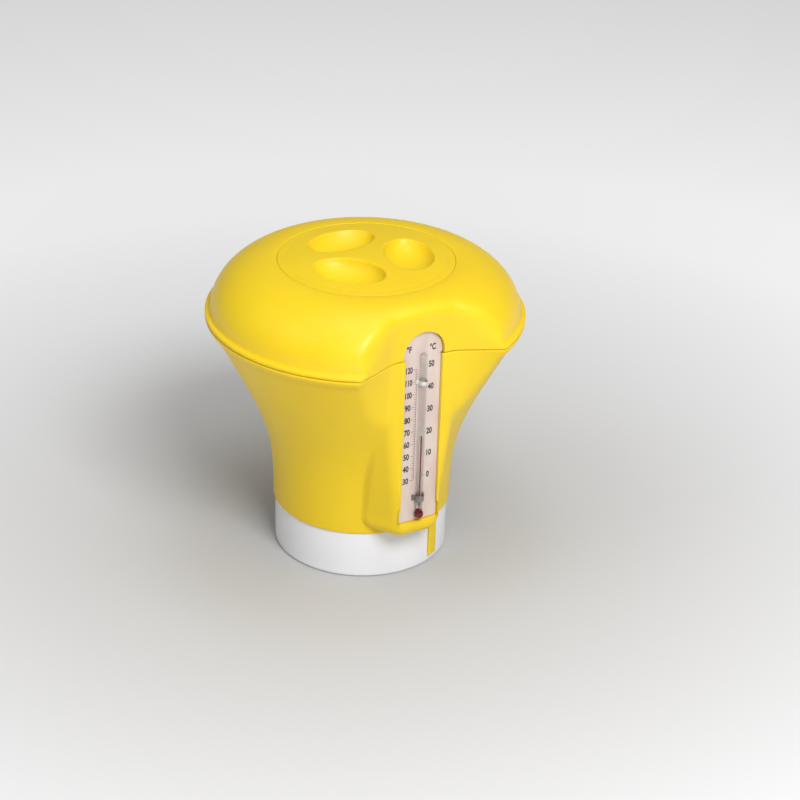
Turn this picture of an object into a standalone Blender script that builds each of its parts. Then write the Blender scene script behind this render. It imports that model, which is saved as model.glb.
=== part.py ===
"""Floating chlorine dispenser: a mushroom-shaped float around a tablet basket.

Metres, +Z up. The origin is on the axis, at the underside of the turning cup.
The thermometer faces -Y. The filler lid is on top, and water enters underneath.
"""
import math

import bmesh
import bpy
from mathutils import Matrix, Vector

# Overall sizes
RIM_RADIUS = 0.0925
CUP_RADIUS = 0.0515
SKIRT_Z = 0.030            # lower edge of the hull, where the white cup starts
PARTING_Z = 0.149          # underside of the dome's rim
DOME_TOP_Z = 0.182
LID_TOP_Z = 0.185
WALL = 0.0022
GAP = 0.0003               # between pieces that touch
ROUND = 54                 # segments of the large turned pieces
RING_ROUND = 48            # segments of the seal rings
SMALL_ROUND = 12           # segments of the thermometer's glass

# Hull: a straight skirt that flares into a funnel
SKIRT_RADIUS = 0.0524
FLARE_SLOPE = 0.535
FLARE_Z = 0.0755
FLARE_SOFTNESS = 0.013
HULL_TOP_Z = PARTING_Z - GAP
JOINT_INNER_RADIUS = 0.084  # inner edge of the two rims that are welded together
FLOOR_Z = 0.036            # underside of the hull's floor
COLLAR_RADIUS = 0.048      # outside of the collar that grips the basket
COLLAR_TOP_Z = 0.0426

# Dome: a rounded shoulder between the rim and the lid's well
SHOULDER_CENTRE = 0.052
SHOULDER_FOOT = 0.0895
SHOULDER_Z = 0.152
SHOULDER_POWER = 1.9
WELL_RADIUS = 0.0512
WELL_FLOOR_Z = 0.1742
PORT_RADIUS = 0.0445

# Wings that lead to the thermometer: a flat face that turns back beyond WING_START, most at the parting line
WING_DEPTH = 0.0591
WING_SLOPE = 0.46
WING_START = 0.0189
WING_FACE = WING_DEPTH + WING_SLOPE * WING_START
WING_TURN_Z = 0.116
WING_SPAN = 0.110
BOSS_FRONT = 0.0683
BOSS_SIDE = 0.0556          # half width plus BOSS_SLOPE times depth, along each side at the foot
BOSS_SLOPE = 0.63
BOSS_SPREAD = 0.131         # how fast that grows with height above BOSS_SPREAD_Z
BOSS_SPREAD_Z = 0.046
BOSS_CORNER = 0.0020
BOSS_BOTTOM_Z = 0.0335
BOSS_NOSE = 0.008
FACE_HALF_WIDTH = 0.020    # flat face above the boss, on the dome

# Thermometer
CARD_HALF_WIDTH = 0.0127
CARD_BACK = 0.0648
CARD_FRONT = 0.0660
CARD_BOTTOM_Z = 0.044
CARD_TOP_Z = 0.1644
SLOT_BACK = CARD_BACK - GAP
LIP_OVERLAP = 0.0008
LIP_BOTTOM_Z = 0.054
TUBE_DEPTH = 0.0681        # the glass tube's axis, in front of the card
TUBE_RADIUS = 0.0018
TUBE_TOP_Z = 0.152
TUBE_BORE = 0.0008
BULB_RADIUS = 0.0027
BULB_Z = 0.0488
LIQUID_TOP_Z = 0.100
CLIP_HEIGHTS = {"tube_clip_lower": (0.0576, 0.0614), "tube_clip_upper": (0.1325, 0.1347)}

# Tablet basket and its seals
BASKET_BORE = 0.0405
BASKET_RADIUS = 0.0425
BASKET_BOTTOM_Z = 0.0028
BASKET_TOP_Z = 0.1778
BASKET_FLANGE = 0.0492
NECK_LIP_RADIUS = 0.0392
NECK_LIP_Z = (0.1692, 0.1720)
HUB_RADIUS = 0.011
SLOT_COUNT = 6
SLOT_INNER = 0.014
SLOT_OUTER = 0.037
ORING_SECTION = 0.0011
ORING_Z = 0.039

# Turning cup
CUP_FLOOR = 0.0024
CUP_NECK_RADIUS = 0.0500
CUP_NECK_TOP_Z = 0.035
PIVOT_RADIUS = 0.006
PIVOT_TOP_Z = 0.008

# Filler lid: a bayonet plug with three finger recesses
LID_RADIUS = 0.0508
LID_BOTTOM_Z = 0.1786
PLUG_RADIUS = 0.0388
PLUG_BOTTOM_Z = 0.166
RECESS_COUNT = 3
RECESS_ANGLE = math.radians(-22)
RECESS_OFFSET = 0.0245
RECESS_SIZE = (0.0145, 0.0215, 0.0095)   # half lengths: outward, sideways, deep
LUG_RADIUS = 0.0402
LUG_WIDTH = math.radians(24)
NOTCH_WIDTH = math.radians(32)
SEAL_RING_RADIUS = 0.0458
SEAL_SECTION = 0.00125

YELLOW = (0.95, 0.72, 0.03)
WHITE = (0.80, 0.80, 0.82)
MATERIALS = {
    "yellow_plastic": (YELLOW, 0.35, 0.0),
    "white_plastic": (WHITE, 0.45, 0.0),
    "card_plastic": ((0.85, 0.80, 0.77), 0.5, 0.0),
    "clear_glass": ((0.85, 0.88, 0.88), 0.05, 0.0),
    "red_liquid": ((0.25, 0.01, 0.02), 0.2, 0.0),
    "clip_metal": ((0.45, 0.44, 0.42), 0.35, 1.0),
    "steel": ((0.60, 0.60, 0.62), 0.3, 1.0),
    "rubber": ((0.03, 0.03, 0.03), 0.7, 0.0),
}


def clear_scene():
    for old in list(bpy.data.objects):
        bpy.data.objects.remove(old, do_unlink=True)


def make_material(slot):
    color, roughness, metallic = MATERIALS[slot]
    material = bpy.data.materials.get(slot) or bpy.data.materials.new(slot)
    material.use_nodes = True
    shader = material.node_tree.nodes["Principled BSDF"]
    shader.inputs["Base Color"].default_value = (*color, 1.0)
    shader.inputs["Roughness"].default_value = roughness
    shader.inputs["Metallic"].default_value = metallic
    return material


def make_object(name, bm, slot=None):
    """Link a bmesh as an object; without a material slot it is a cutter."""
    bmesh.ops.remove_doubles(bm, verts=bm.verts, dist=1e-7)
    bmesh.ops.dissolve_degenerate(bm, edges=bm.edges, dist=1e-7)
    loose = [edge for edge in bm.edges if not edge.link_faces]
    bmesh.ops.delete(bm, geom=loose, context="EDGES")
    bmesh.ops.recalc_face_normals(bm, faces=bm.faces)
    mesh = bpy.data.meshes.new(name)
    bm.to_mesh(mesh)
    bm.free()
    obj = bpy.data.objects.new(name, mesh)
    bpy.context.collection.objects.link(obj)
    if slot is None:
        obj.hide_render = True
        obj.display_type = "WIRE"
    else:
        mesh.materials.append(make_material(slot))
    return obj


def turn(name, outline, slot=None, segments=ROUND, centre=(0.0, 0.0), phase=0.0):
    """Spin a closed (radius, z) outline about a vertical axis through centre.

    phase turns the facets by a part of one segment, so that a cutter's edges miss those of its target.
    """
    bm = bmesh.new()
    verts = [bm.verts.new((radius, 0.0, z)) for radius, z in outline]
    edges = [bm.edges.new(pair) for pair in zip(verts, verts[1:] + verts[:1])]
    bmesh.ops.spin(bm, geom=verts + edges, cent=(0, 0, 0), axis=(0, 0, 1), angle=math.tau,
                   steps=segments, use_merge=True)
    bmesh.ops.rotate(bm, verts=bm.verts, cent=(0, 0, 0),
                     matrix=Matrix.Rotation(phase * math.tau / segments, 3, "Z"))
    bmesh.ops.translate(bm, verts=bm.verts, vec=(*centre, 0.0))
    return make_object(name, bm, slot)


def loft(name, loops, slot=None):
    """Skin a stack of loops with equal point counts and cap both ends."""
    bm = bmesh.new()
    rings = [[bm.verts.new(point) for point in loop] for loop in loops]
    for lower, upper in zip(rings, rings[1:]):
        for i, vert in enumerate(lower):
            j = (i + 1) % len(lower)
            bm.faces.new((vert, lower[j], upper[j], upper[i]))
    bm.faces.new(rings[0])
    bm.faces.new(rings[-1])
    return make_object(name, bm, slot)


def arc(centre, radius, start, end, steps):
    """Points of an arc, with angles in degrees."""
    angles = [math.radians(start + (end - start) * i / steps) for i in range(steps + 1)]
    return [(centre[0] + radius * math.cos(a), centre[1] + radius * math.sin(a)) for a in angles]


def add_boolean(obj, tool, operation):
    modifier = obj.modifiers.new(f"{operation.lower()} {tool.name}", "BOOLEAN")
    modifier.operation = operation
    modifier.object = tool
    modifier.solver = "EXACT"


def cut(obj, *tools):
    for tool in tools:
        add_boolean(obj, tool, "DIFFERENCE")


def join(obj, *tools):
    for tool in tools:
        add_boolean(obj, tool, "UNION")


def sector(name, inner, outer, middle, width, bottom, top, steps=6):
    """A ring segment, used for slots, notches and lugs."""
    span = [middle - width / 2 + width * i / steps for i in range(steps + 1)]
    outline = [(outer * math.cos(a), outer * math.sin(a)) for a in span]
    outline += [(inner * math.cos(a), inner * math.sin(a)) for a in reversed(span)]
    return loft(name, [[(x, y, z) for x, y in outline] for z in (bottom, top)])


def spread(count, offset=0.0):
    return [offset + math.tau * i / count for i in range(count)]


def hull_radius(z):
    """Skirt radius plus a softened ramp: r = R + slope * s * ln(1 + e^((z - z0) / s))."""
    ramp = math.log1p(math.exp((z - FLARE_Z) / FLARE_SOFTNESS))
    return SKIRT_RADIUS + FLARE_SLOPE * FLARE_SOFTNESS * ramp


def shoulder(inset, steps):
    """Dome shoulder from foot to top: a superellipse, moved inwards by inset."""
    power = 2 / SHOULDER_POWER
    width = SHOULDER_FOOT - SHOULDER_CENTRE - inset
    height = DOME_TOP_Z - SHOULDER_Z - inset
    angles = [0.5 * math.pi * i / steps for i in range(steps)]
    return [(SHOULDER_CENTRE + width * math.cos(a) ** power, SHOULDER_Z + height * math.sin(a) ** power)
            for a in angles]


def wing_wedge(name, setback):
    """Everything in front of the face and its two wings, which turn back more towards the parting line."""
    loops = []
    for z in (0.0, WING_TURN_Z, 0.122, 0.130, 0.139, PARTING_Z, PARTING_Z + 0.010):
        share = min(max((z - WING_TURN_Z) / (PARTING_Z - WING_TURN_Z), 0.0), 1.0)
        slope = WING_SLOPE * share ** 0.95
        face = WING_FACE - setback
        side = face + slope * (WING_SPAN - WING_START)
        outline = [(-WING_START, face), (WING_START, face), (WING_SPAN, side), (WING_SPAN, side + 0.06),
                   (-WING_SPAN, side + 0.06), (-WING_SPAN, side)]
        loops.append([(x, -depth, z) for x, depth in outline])
    return loft(name, loops)


def face_wedge(name, setback):
    """Everything in front of the wings and the flat face above the boss, for cutting the dome."""
    side = WING_DEPTH - setback + WING_SLOPE * WING_SPAN
    face = BOSS_FRONT - setback
    outline = [(-FACE_HALF_WIDTH, face), (FACE_HALF_WIDTH, face), (WING_SPAN, side),
               (WING_SPAN, side + 0.06), (-WING_SPAN, side + 0.06), (-WING_SPAN, side)]
    return loft(name, [[(x, -depth, z) for x, depth in outline] for z in (0.140, 0.200)])


def boss_outline(inset, z, back=0.034):
    """Plan of the thermometer boss: a rounded front with straight sides that widen towards the hull."""
    run = math.hypot(1.0, BOSS_SLOPE)
    front = BOSS_FRONT - inset
    side = BOSS_SIDE - inset * run + BOSS_SPREAD * max(z - BOSS_SPREAD_Z, 0.0)
    centre = (side - BOSS_SLOPE * (front - BOSS_CORNER) - BOSS_CORNER * run, front - BOSS_CORNER)
    foot = 0.0470
    right = [(side - BOSS_SLOPE * foot, back), (side - BOSS_SLOPE * foot, foot)]
    start = math.degrees(math.atan(BOSS_SLOPE))
    right += [(x, depth) for x, depth in arc(centre, BOSS_CORNER, start, 90, 4)]
    left = [(-x, depth) for x, depth in reversed(right)]
    return right + left


def make_boss():
    loops = []
    steps = 5
    for i in range(steps + 1):
        angle = 0.5 * math.pi * i / steps
        inset = BOSS_NOSE * (1 - math.sin(angle))
        z = BOSS_BOTTOM_Z + BOSS_NOSE * (1 - math.cos(angle))
        loops.append([(x, -depth, z) for x, depth in boss_outline(inset, z)])
    for z in (BOSS_SPREAD_Z, HULL_TOP_Z):
        loops.append([(x, -depth, z) for x, depth in boss_outline(0.0, z)])
    return loft("boss", loops)


def make_boss_inside(name, back, half, inset, bottom, top):
    """A hollow of the boss, open at its back to the hull's cavity."""
    right = [(half, back), (0.0182 - inset, 0.0545 - inset), (0.0138 - inset, 0.0622 - inset)]
    left = [(-x, depth) for x, depth in reversed(right)]
    return loft(name, [[(x, -depth, z) for x, depth in right + left] for z in (bottom, top)])


def card_outline(half, bottom, top, steps=16):
    """A strip with a half-round top, in X and Z."""
    return [(half, bottom)] + arc((0.0, top - half), half, 0, 180, steps) + [(-half, bottom)]


def card_prism(name, half, bottom, top, back, front, slot=None):
    outline = card_outline(half, bottom, top)
    return loft(name, [[(x, -depth, z) for x, z in outline] for depth in (back, front)], slot)


def make_card_slot():
    return card_prism("card_slot", CARD_HALF_WIDTH + GAP, CARD_BOTTOM_Z - GAP, CARD_TOP_Z + GAP,
                      SLOT_BACK, BOSS_FRONT + 0.004)


def make_lips():
    """Two ledges of the hull that reach over the card's edges."""
    lips = []
    inner = CARD_HALF_WIDTH - LIP_OVERLAP
    for side in (-1, 1):
        xs = (side * inner, side * (CARD_HALF_WIDTH + 0.001))
        outline = [(xs[0], CARD_FRONT + GAP), (xs[1], CARD_FRONT + GAP), (xs[1], BOSS_FRONT - 0.0002),
                   (xs[0] + side * 0.0006, BOSS_FRONT - 0.0002), (xs[0], BOSS_FRONT - 0.0008)]
        loops = [[(x, -depth, z) for x, depth in outline] for z in (LIP_BOTTOM_Z, HULL_TOP_Z - 0.0002)]
        lips.append(loft(f"lip {side}", loops))
    return lips


def make_index_tab():
    """A blade that hangs from the skirt over the cup, to read how far the cup is turned."""
    return sector("index_tab", CUP_RADIUS + 0.0004, CUP_RADIUS + 0.0017, math.radians(-65),
                  math.radians(7), 0.005, 0.0315, 3)


def make_hull():
    levels = [SKIRT_Z + (0.142 - SKIRT_Z) * i / 10 for i in range(11)]
    outline = [(0.0, SKIRT_Z)] + [(hull_radius(z), z) for z in levels]
    outline += [(0.0911, 0.1436), (0.0919, 0.1450), (0.0919, 0.1470), (0.0911, HULL_TOP_Z),
                (0.0, HULL_TOP_Z)]
    hull = turn("hull_shell", outline, "yellow_plastic")

    inner_levels = [0.0382 + (0.1465 - 0.0382) * i / 7 for i in range(8)]
    hollow = [(0.0, COLLAR_TOP_Z), (COLLAR_RADIUS, COLLAR_TOP_Z), (COLLAR_RADIUS, inner_levels[0])]
    hollow += [(hull_radius(z) - WALL * (1.0 + 0.12 * (z > 0.09)), z) for z in inner_levels]
    hollow += [(JOINT_INNER_RADIUS, 0.1465), (JOINT_INNER_RADIUS, 0.155), (0.0, 0.155)]
    cavity = turn("hull_cavity", hollow, phase=0.5)
    cut(cavity, wing_wedge("wings_inside", WALL * math.hypot(1, 0.5 * WING_SLOPE)))
    join(cavity, make_boss_inside("boss_inside", 0.0300, 0.0186, 0.0, COLLAR_TOP_Z + 0.0004, 0.156),
         make_boss_inside("boss_foot_inside", 0.0490, 0.0160, 0.0002, 0.0385, 0.0450))

    gland = BASKET_RADIUS + GAP
    groove = BASKET_RADIUS + 2 * (ORING_SECTION + GAP)
    bore = [(0.0, 0.020), (CUP_RADIUS + 0.0004, 0.020), (CUP_RADIUS + 0.0004, SKIRT_Z),
            (CUP_NECK_RADIUS + 0.0004, SKIRT_Z), (CUP_NECK_RADIUS + 0.0004, FLOOR_Z), (gland, FLOOR_Z),
            (gland, ORING_Z - 0.0014), (groove, ORING_Z - 0.0014), (groove, ORING_Z + 0.0014),
            (gland, ORING_Z + 0.0014), (gland, 0.0435), (0.0, 0.0435)]
    cut(hull, wing_wedge("wings", 0.0))
    join(hull, make_boss(), make_index_tab())
    cut(hull, cavity, turn("skirt_bore", bore, phase=0.25), bpy.data.objects["card_slot"])
    join(hull, *make_lips())


def make_dome():
    outline = [(PORT_RADIUS, PARTING_Z), (RIM_RADIUS, PARTING_Z), (RIM_RADIUS, 0.1510),
               (0.0920, 0.1515), (0.0903, 0.1518)]
    outline += shoulder(0.0, 10) + [(WELL_RADIUS + 0.0006, DOME_TOP_Z), (WELL_RADIUS, DOME_TOP_Z - 0.0006),
                                    (WELL_RADIUS, WELL_FLOOR_Z), (PORT_RADIUS, WELL_FLOOR_Z)]
    dome = turn("dome_shell", outline, "yellow_plastic")
    hollow = [(0.040, 0.145), (JOINT_INNER_RADIUS, 0.145), (JOINT_INNER_RADIUS, 0.1514)]
    hollow += shoulder(WALL, 7)
    hollow += [(WELL_RADIUS + WALL, DOME_TOP_Z - WALL), (WELL_RADIUS + WALL, WELL_FLOOR_Z - WALL),
               (0.040, WELL_FLOOR_Z - WALL)]
    cavity = turn("dome_cavity", hollow, phase=0.5)
    backing = card_prism("card_backing", CARD_HALF_WIDTH + 0.0025, 0.140, CARD_TOP_Z + 0.0027,
                         0.0622, 0.095)
    cut(cavity, face_wedge("face_inside", WALL), backing)
    cut(dome, face_wedge("face", 0.0), cavity, bpy.data.objects["card_slot"])


def make_basket():
    flange_bottom = BASKET_TOP_Z - 0.0020
    outline = [(PIVOT_RADIUS + 0.0004, BASKET_BOTTOM_Z), (BASKET_RADIUS, BASKET_BOTTOM_Z),
               (BASKET_RADIUS, flange_bottom), (BASKET_FLANGE, flange_bottom),
               (BASKET_FLANGE, BASKET_TOP_Z), (BASKET_BORE, BASKET_TOP_Z), (BASKET_BORE, NECK_LIP_Z[1]),
               (NECK_LIP_RADIUS, NECK_LIP_Z[1] - 0.0004), (NECK_LIP_RADIUS, NECK_LIP_Z[0] + 0.0004),
               (BASKET_BORE, NECK_LIP_Z[0]), (BASKET_BORE, 0.0052), (HUB_RADIUS, 0.0052),
               (HUB_RADIUS, 0.0076), (PIVOT_RADIUS + 0.0004, 0.0076)]
    basket = turn("tablet_basket", outline, "white_plastic")
    for angle in spread(SLOT_COUNT):
        cut(basket, sector("basket_slot", SLOT_INNER, SLOT_OUTER, angle, math.pi / SLOT_COUNT, 0.0, 0.0065))
    for angle in spread(RECESS_COUNT, math.pi / 6):
        cut(basket, sector("neck_notch", 0.038, BASKET_BORE - 0.0001, angle, NOTCH_WIDTH, 0.168, 0.173))


def make_ring(name, ring_radius, section, z, steps=6):
    outline = [(r, h) for r, h in arc((ring_radius, z), section, 0, 360 * (steps - 1) / steps, steps - 1)]
    turn(name, outline, "rubber", RING_ROUND)


def make_seals():
    turn("basket_gasket", [(PORT_RADIUS + 0.0004, WELL_FLOOR_Z + GAP), (0.0490, WELL_FLOOR_Z + GAP),
                           (0.0490, BASKET_TOP_Z - 0.0023), (PORT_RADIUS + 0.0004, BASKET_TOP_Z - 0.0023)],
         "rubber")
    make_ring("basket_oring", BASKET_RADIUS + GAP + ORING_SECTION, ORING_SECTION, ORING_Z)
    make_ring("lid_seal", SEAL_RING_RADIUS, SEAL_SECTION, BASKET_TOP_Z + GAP + SEAL_SECTION)


def make_cup():
    guide = BASKET_RADIUS + 0.0005
    outline = [(0.0, 0.0), (CUP_RADIUS - 0.001, 0.0), (CUP_RADIUS - 0.0003, 0.0003), (CUP_RADIUS, 0.001),
               (CUP_RADIUS, SKIRT_Z - GAP), (CUP_NECK_RADIUS, SKIRT_Z - GAP),
               (CUP_NECK_RADIUS, CUP_NECK_TOP_Z), (CUP_NECK_RADIUS - WALL, CUP_NECK_TOP_Z),
               (CUP_NECK_RADIUS - WALL, 0.0275), (CUP_RADIUS - WALL, 0.0260),
               (CUP_RADIUS - WALL, CUP_FLOOR), (guide + 0.0016, CUP_FLOOR), (guide + 0.0016, 0.010),
               (guide, 0.010), (guide, CUP_FLOOR), (PIVOT_RADIUS, CUP_FLOOR), (PIVOT_RADIUS, PIVOT_TOP_Z),
               (0.0022, PIVOT_TOP_Z), (0.0022, 0.0034), (0.0, 0.0034)]
    cup = turn("flow_cup", outline, "white_plastic")
    for angle in spread(SLOT_COUNT):
        cut(cup, sector("cup_slot", SLOT_INNER, SLOT_OUTER, angle, math.pi / SLOT_COUNT, -0.001, 0.004))


def make_pivot():
    """The screw that holds the cup, with a washer that overhangs the basket's hub."""
    washer_z = PIVOT_TOP_Z + GAP
    turn("pivot_washer", [(0.0022, washer_z), (0.0092, washer_z), (0.0092, washer_z + 0.001),
                          (0.0022, washer_z + 0.001)], "steel", 32)
    head_z = washer_z + 0.001 + GAP
    turn("pivot_screw", [(0.0, 0.0037), (0.0012, 0.0037), (0.0019, 0.0050), (0.0019, head_z),
                         (0.0042, head_z), (0.0042, head_z + 0.0010), (0.0034, head_z + 0.0021),
                         (0.0018, head_z + 0.0026), (0.0, head_z + 0.0027)], "steel", 24)


def ellipsoid(name, half_lengths, centre, angle, rings=8, segments=20):
    bm = bmesh.new()
    bmesh.ops.create_uvsphere(bm, u_segments=segments, v_segments=rings, radius=1.0)
    bmesh.ops.scale(bm, vec=Vector(half_lengths), verts=bm.verts)
    bmesh.ops.translate(bm, vec=Vector(centre), verts=bm.verts)
    for vert in bm.verts:
        x, y = vert.co.x, vert.co.y
        vert.co.x = x * math.cos(angle) - y * math.sin(angle)
        vert.co.y = x * math.sin(angle) + y * math.cos(angle)
    return make_object(name, bm)


def make_lid():
    groove = (SEAL_RING_RADIUS - SEAL_SECTION - GAP, SEAL_RING_RADIUS + SEAL_SECTION + GAP)
    groove_top = LID_BOTTOM_Z + 0.0023
    outline = [(0.0, LID_TOP_Z), (0.012, LID_TOP_Z - 0.0001), (0.024, LID_TOP_Z - 0.0005),
               (0.034, LID_TOP_Z - 0.0012), (0.042, LID_TOP_Z - 0.0020), (0.0482, LID_TOP_Z - 0.0028),
               (0.0500, LID_TOP_Z - 0.0033), (LID_RADIUS, LID_TOP_Z - 0.0042),
               (LID_RADIUS, LID_BOTTOM_Z), (groove[1], LID_BOTTOM_Z), (groove[1], groove_top),
               (groove[0], groove_top), (groove[0], LID_BOTTOM_Z), (PLUG_RADIUS, LID_BOTTOM_Z),
               (PLUG_RADIUS, PLUG_BOTTOM_Z), (0.0, PLUG_BOTTOM_Z)]
    lid = turn("filler_lid", outline, "yellow_plastic")
    hollow = turn("lid_hollow", [(0.0, 0.160), (0.0366, 0.160), (0.0366, 0.1812), (0.0, 0.1818)],
                  phase=0.5)
    out, side, deep = RECESS_SIZE
    centre = (RECESS_OFFSET, 0.0, LID_TOP_Z)
    for angle in spread(RECESS_COUNT, RECESS_ANGLE):
        cut(hollow, ellipsoid("recess_wall", (out + 0.002, side + 0.002, deep + 0.002), centre, angle))
    cut(lid, hollow)
    for angle in spread(RECESS_COUNT, RECESS_ANGLE):
        cut(lid, ellipsoid("recess", (out, side, deep), centre, angle))
    for angle in spread(RECESS_COUNT, math.pi / 6):
        join(lid, sector("lug", PLUG_RADIUS - 0.001, LUG_RADIUS, angle, LUG_WIDTH, 0.1664, 0.1686))


def make_thermometer():
    card = card_prism("thermometer_card", CARD_HALF_WIDTH, CARD_BOTTOM_Z, CARD_TOP_Z, CARD_BACK,
                      CARD_FRONT, "card_plastic")
    bulb_hole = [[(x, -depth, BULB_Z + z) for x, z in arc((0, 0), BULB_RADIUS + 0.0006, 0, 345, 23)]
                 for depth in (0.060, 0.072)]
    cut(card, loft("bulb_hole", bulb_hole))

    axis = (0.0, -TUBE_DEPTH)

    def bulb(radius, neck):
        top = math.degrees(math.acos(neck / radius))
        return [(0.0, BULB_Z - radius)] + arc((0.0, BULB_Z), radius, -72, top, 8)

    inner = bulb(BULB_RADIUS - 0.0005, TUBE_BORE)
    outline = bulb(BULB_RADIUS, TUBE_RADIUS) + [(TUBE_RADIUS, TUBE_TOP_Z - 0.0006),
                                                (TUBE_RADIUS - 0.0006, TUBE_TOP_Z), (TUBE_BORE, TUBE_TOP_Z)]
    turn("thermometer_glass", outline + inner[::-1], "clear_glass", SMALL_ROUND, axis)
    thread = TUBE_BORE - GAP
    turn("thermometer_liquid", bulb(BULB_RADIUS - 0.0005 - GAP, thread) + [(thread, LIQUID_TOP_Z),
                                                                           (0.0, LIQUID_TOP_Z)],
         "red_liquid", SMALL_ROUND, axis)

    outer = TUBE_RADIUS + GAP + 0.0006
    foot = CARD_FRONT + GAP
    arch = [(outer + 0.0015, foot), (outer + 0.0015, foot + 0.0006), (outer, foot + 0.0006)]
    arch += arc((0.0, TUBE_DEPTH), outer, 0, 180, 10)
    arch += [(-outer, foot + 0.0006), (-outer - 0.0015, foot + 0.0006), (-outer - 0.0015, foot)]
    arch += [(-outer + 0.0006, foot)] + arc((0.0, TUBE_DEPTH), outer - 0.0006, 180, 0, 10)
    arch += [(outer - 0.0006, foot)]
    for name, heights in CLIP_HEIGHTS.items():
        loft(name, [[(x, -depth, z) for x, depth in arch] for z in heights], "clip_metal")


def finish_nodes():
    """Apply the cuts, remove the cutters and shade each piece smooth with sharp edges."""
    depsgraph = bpy.context.evaluated_depsgraph_get()
    pieces = [obj for obj in bpy.data.objects if not obj.hide_render]
    shaped = {obj: bpy.data.meshes.new_from_object(obj.evaluated_get(depsgraph)) for obj in pieces}
    for obj, mesh in shaped.items():
        obj.modifiers.clear()
        obj.data = mesh
        mesh.shade_smooth()
        mesh.set_sharp_from_angle(angle=math.radians(35))
    for obj in list(bpy.data.objects):
        if obj.hide_render:
            bpy.data.objects.remove(obj, do_unlink=True)


clear_scene()
make_card_slot()
make_hull()
make_dome()
make_basket()
make_seals()
make_cup()
make_pivot()
make_lid()
make_thermometer()
finish_nodes()
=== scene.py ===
import math

import bmesh
import bpy
import numpy as np
from mathutils import Matrix, Vector


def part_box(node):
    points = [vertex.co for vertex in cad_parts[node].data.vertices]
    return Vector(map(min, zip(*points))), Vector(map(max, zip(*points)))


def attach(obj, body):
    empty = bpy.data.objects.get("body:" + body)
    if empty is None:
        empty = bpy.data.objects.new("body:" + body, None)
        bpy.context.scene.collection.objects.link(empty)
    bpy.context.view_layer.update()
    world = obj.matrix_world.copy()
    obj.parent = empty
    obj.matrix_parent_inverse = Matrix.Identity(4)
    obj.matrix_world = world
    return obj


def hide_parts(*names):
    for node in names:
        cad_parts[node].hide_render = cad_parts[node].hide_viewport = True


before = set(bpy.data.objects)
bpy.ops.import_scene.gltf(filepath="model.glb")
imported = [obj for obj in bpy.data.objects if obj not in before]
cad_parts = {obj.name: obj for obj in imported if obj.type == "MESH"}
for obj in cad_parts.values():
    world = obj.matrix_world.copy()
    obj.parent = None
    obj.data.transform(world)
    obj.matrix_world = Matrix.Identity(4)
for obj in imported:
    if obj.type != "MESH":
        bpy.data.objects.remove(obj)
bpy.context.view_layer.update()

# Sizes below are in millimetres. Plan angles run from the thermometer's side, which faces -Y,
# so x = r sin(angle) and y = -r cos(angle). Depth means distance towards -Y.
mm = 0.001


def nodeBox(node):
    low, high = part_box(node)
    return np.array(low) / mm, np.array(high) / mm


domeLow, domeHigh = nodeBox("dome_shell")
hullHigh = nodeBox("hull_shell")[1]
cupHigh = nodeBox("flow_cup")[1]
lidLow, lidHigh = nodeBox("filler_lid")
cardLow, cardHigh = nodeBox("thermometer_card")
glassHigh = nodeBox("thermometer_glass")[1]
basketLow, basketHigh = nodeBox("tablet_basket")
sealLow, sealHigh = nodeBox("lid_seal")

rimRadius = domeHigh[0]
partingZ = domeLow[2]
hullTopZ = hullHigh[2]
cupRadius = cupHigh[0]
lidRadius = lidHigh[0]
cardFront = -cardLow[1]
cardBack = -cardHigh[1]
print("frame loaded:", len(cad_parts), "nodes")


# Small numpy tools

def smoothStep(x):
    # 0 below 0, 1 above 1 and 3x^2 - 2x^3 between
    x = np.clip(x, 0.0, 1.0)
    return x * x * (3.0 - 2.0 * x)


def softMin(a, b, width):
    # smaller of two arrays, with a parabola of the given width where they cross
    h = np.clip(0.5 + 0.5 * (b - a) / width, 0.0, 1.0)
    return b + (a - b) * h - width * h * (1.0 - h)


def softMax(a, b, width):
    # larger of two arrays, rounded the same way
    return -softMin(-a, -b, width)


def arcPoints(centre, radius, start, end, count):
    # points of a circle's arc, angles in degrees
    a = np.radians(np.linspace(start, end, count))
    return np.stack([centre[0] + radius * np.cos(a), centre[1] + radius * np.sin(a)], -1)


def chain(*parts):
    # joins runs of points into one outline
    return np.concatenate([np.atleast_2d(np.array(p, float)) for p in parts])


def gridQuads(rows, cols, closeRows=False, closeCols=True):
    # four corners of every cell of a grid, wrapped round where it is closed
    r, c = np.meshgrid(np.arange(rows if closeRows else rows - 1),
                       np.arange(cols if closeCols else cols - 1), indexing="ij")
    r2, c2 = (r + 1) % rows, (c + 1) % cols
    return np.stack([r * cols + c, r * cols + c2, r2 * cols + c2, r2 * cols + c], -1).reshape(-1, 4)


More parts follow.
